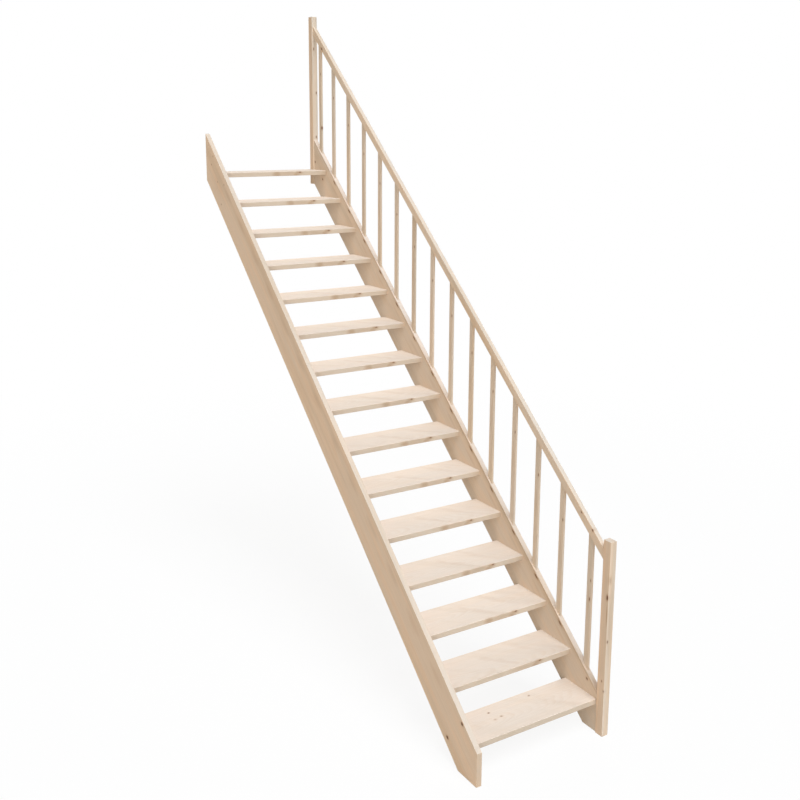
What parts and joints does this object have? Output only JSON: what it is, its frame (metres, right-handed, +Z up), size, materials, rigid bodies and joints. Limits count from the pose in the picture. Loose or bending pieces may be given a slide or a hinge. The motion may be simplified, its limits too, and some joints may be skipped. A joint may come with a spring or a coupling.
{
  "type": "straight wooden stair with one-sided balustrade",
  "caption": "Straight open-riser softwood stair: plain treads housed between two sloping stringers, with newels, flat balusters and a handrail on the right side.",
  "frame": {"origin": "centre of the bottom newel's foot, on the floor", "axes": "+X to the right seen from the foot of the flight, +Y level and up the flight, +Z up"},
  "size_m": [0.8505, 3.301, 3.893],
  "materials": {
    "stringer_wood": "planed, unfinished pale softwood",
    "tread_wood": "planed, unfinished pale softwood",
    "newel_wood": "planed, unfinished pale softwood",
    "handrail_wood": "planed, unfinished pale softwood",
    "baluster_wood": "planed, unfinished pale softwood"
  },
  "bodies": {
    "root": {"stringer_left": "stringer_wood", "stringer_right": "stringer_wood", "newel_bottom": "newel_wood", "newel_top": "newel_wood", "handrail": "handrail_wood", "tread_01": "tread_wood", "tread_02": "tread_wood", "tread_03": "tread_wood", "tread_04": "tread_wood", "tread_05": "tread_wood", "tread_06": "tread_wood", "tread_07": "tread_wood", "tread_08": "tread_wood", "tread_09": "tread_wood", "tread_10": "tread_wood", "tread_11": "tread_wood", "tread_12": "tread_wood", "tread_13": "tread_wood", "tread_14": "tread_wood", "tread_15": "tread_wood", "baluster_01": "baluster_wood", "baluster_02": "baluster_wood", "baluster_03": "baluster_wood", "baluster_04": "baluster_wood", "baluster_05": "baluster_wood", "baluster_06": "baluster_wood", "baluster_07": "baluster_wood", "baluster_08": "baluster_wood", "baluster_09": "baluster_wood", "baluster_10": "baluster_wood", "baluster_11": "baluster_wood", "baluster_12": "baluster_wood", "baluster_13": "baluster_wood", "baluster_14": "baluster_wood", "baluster_15": "baluster_wood"}
  },
  "joints": []
}
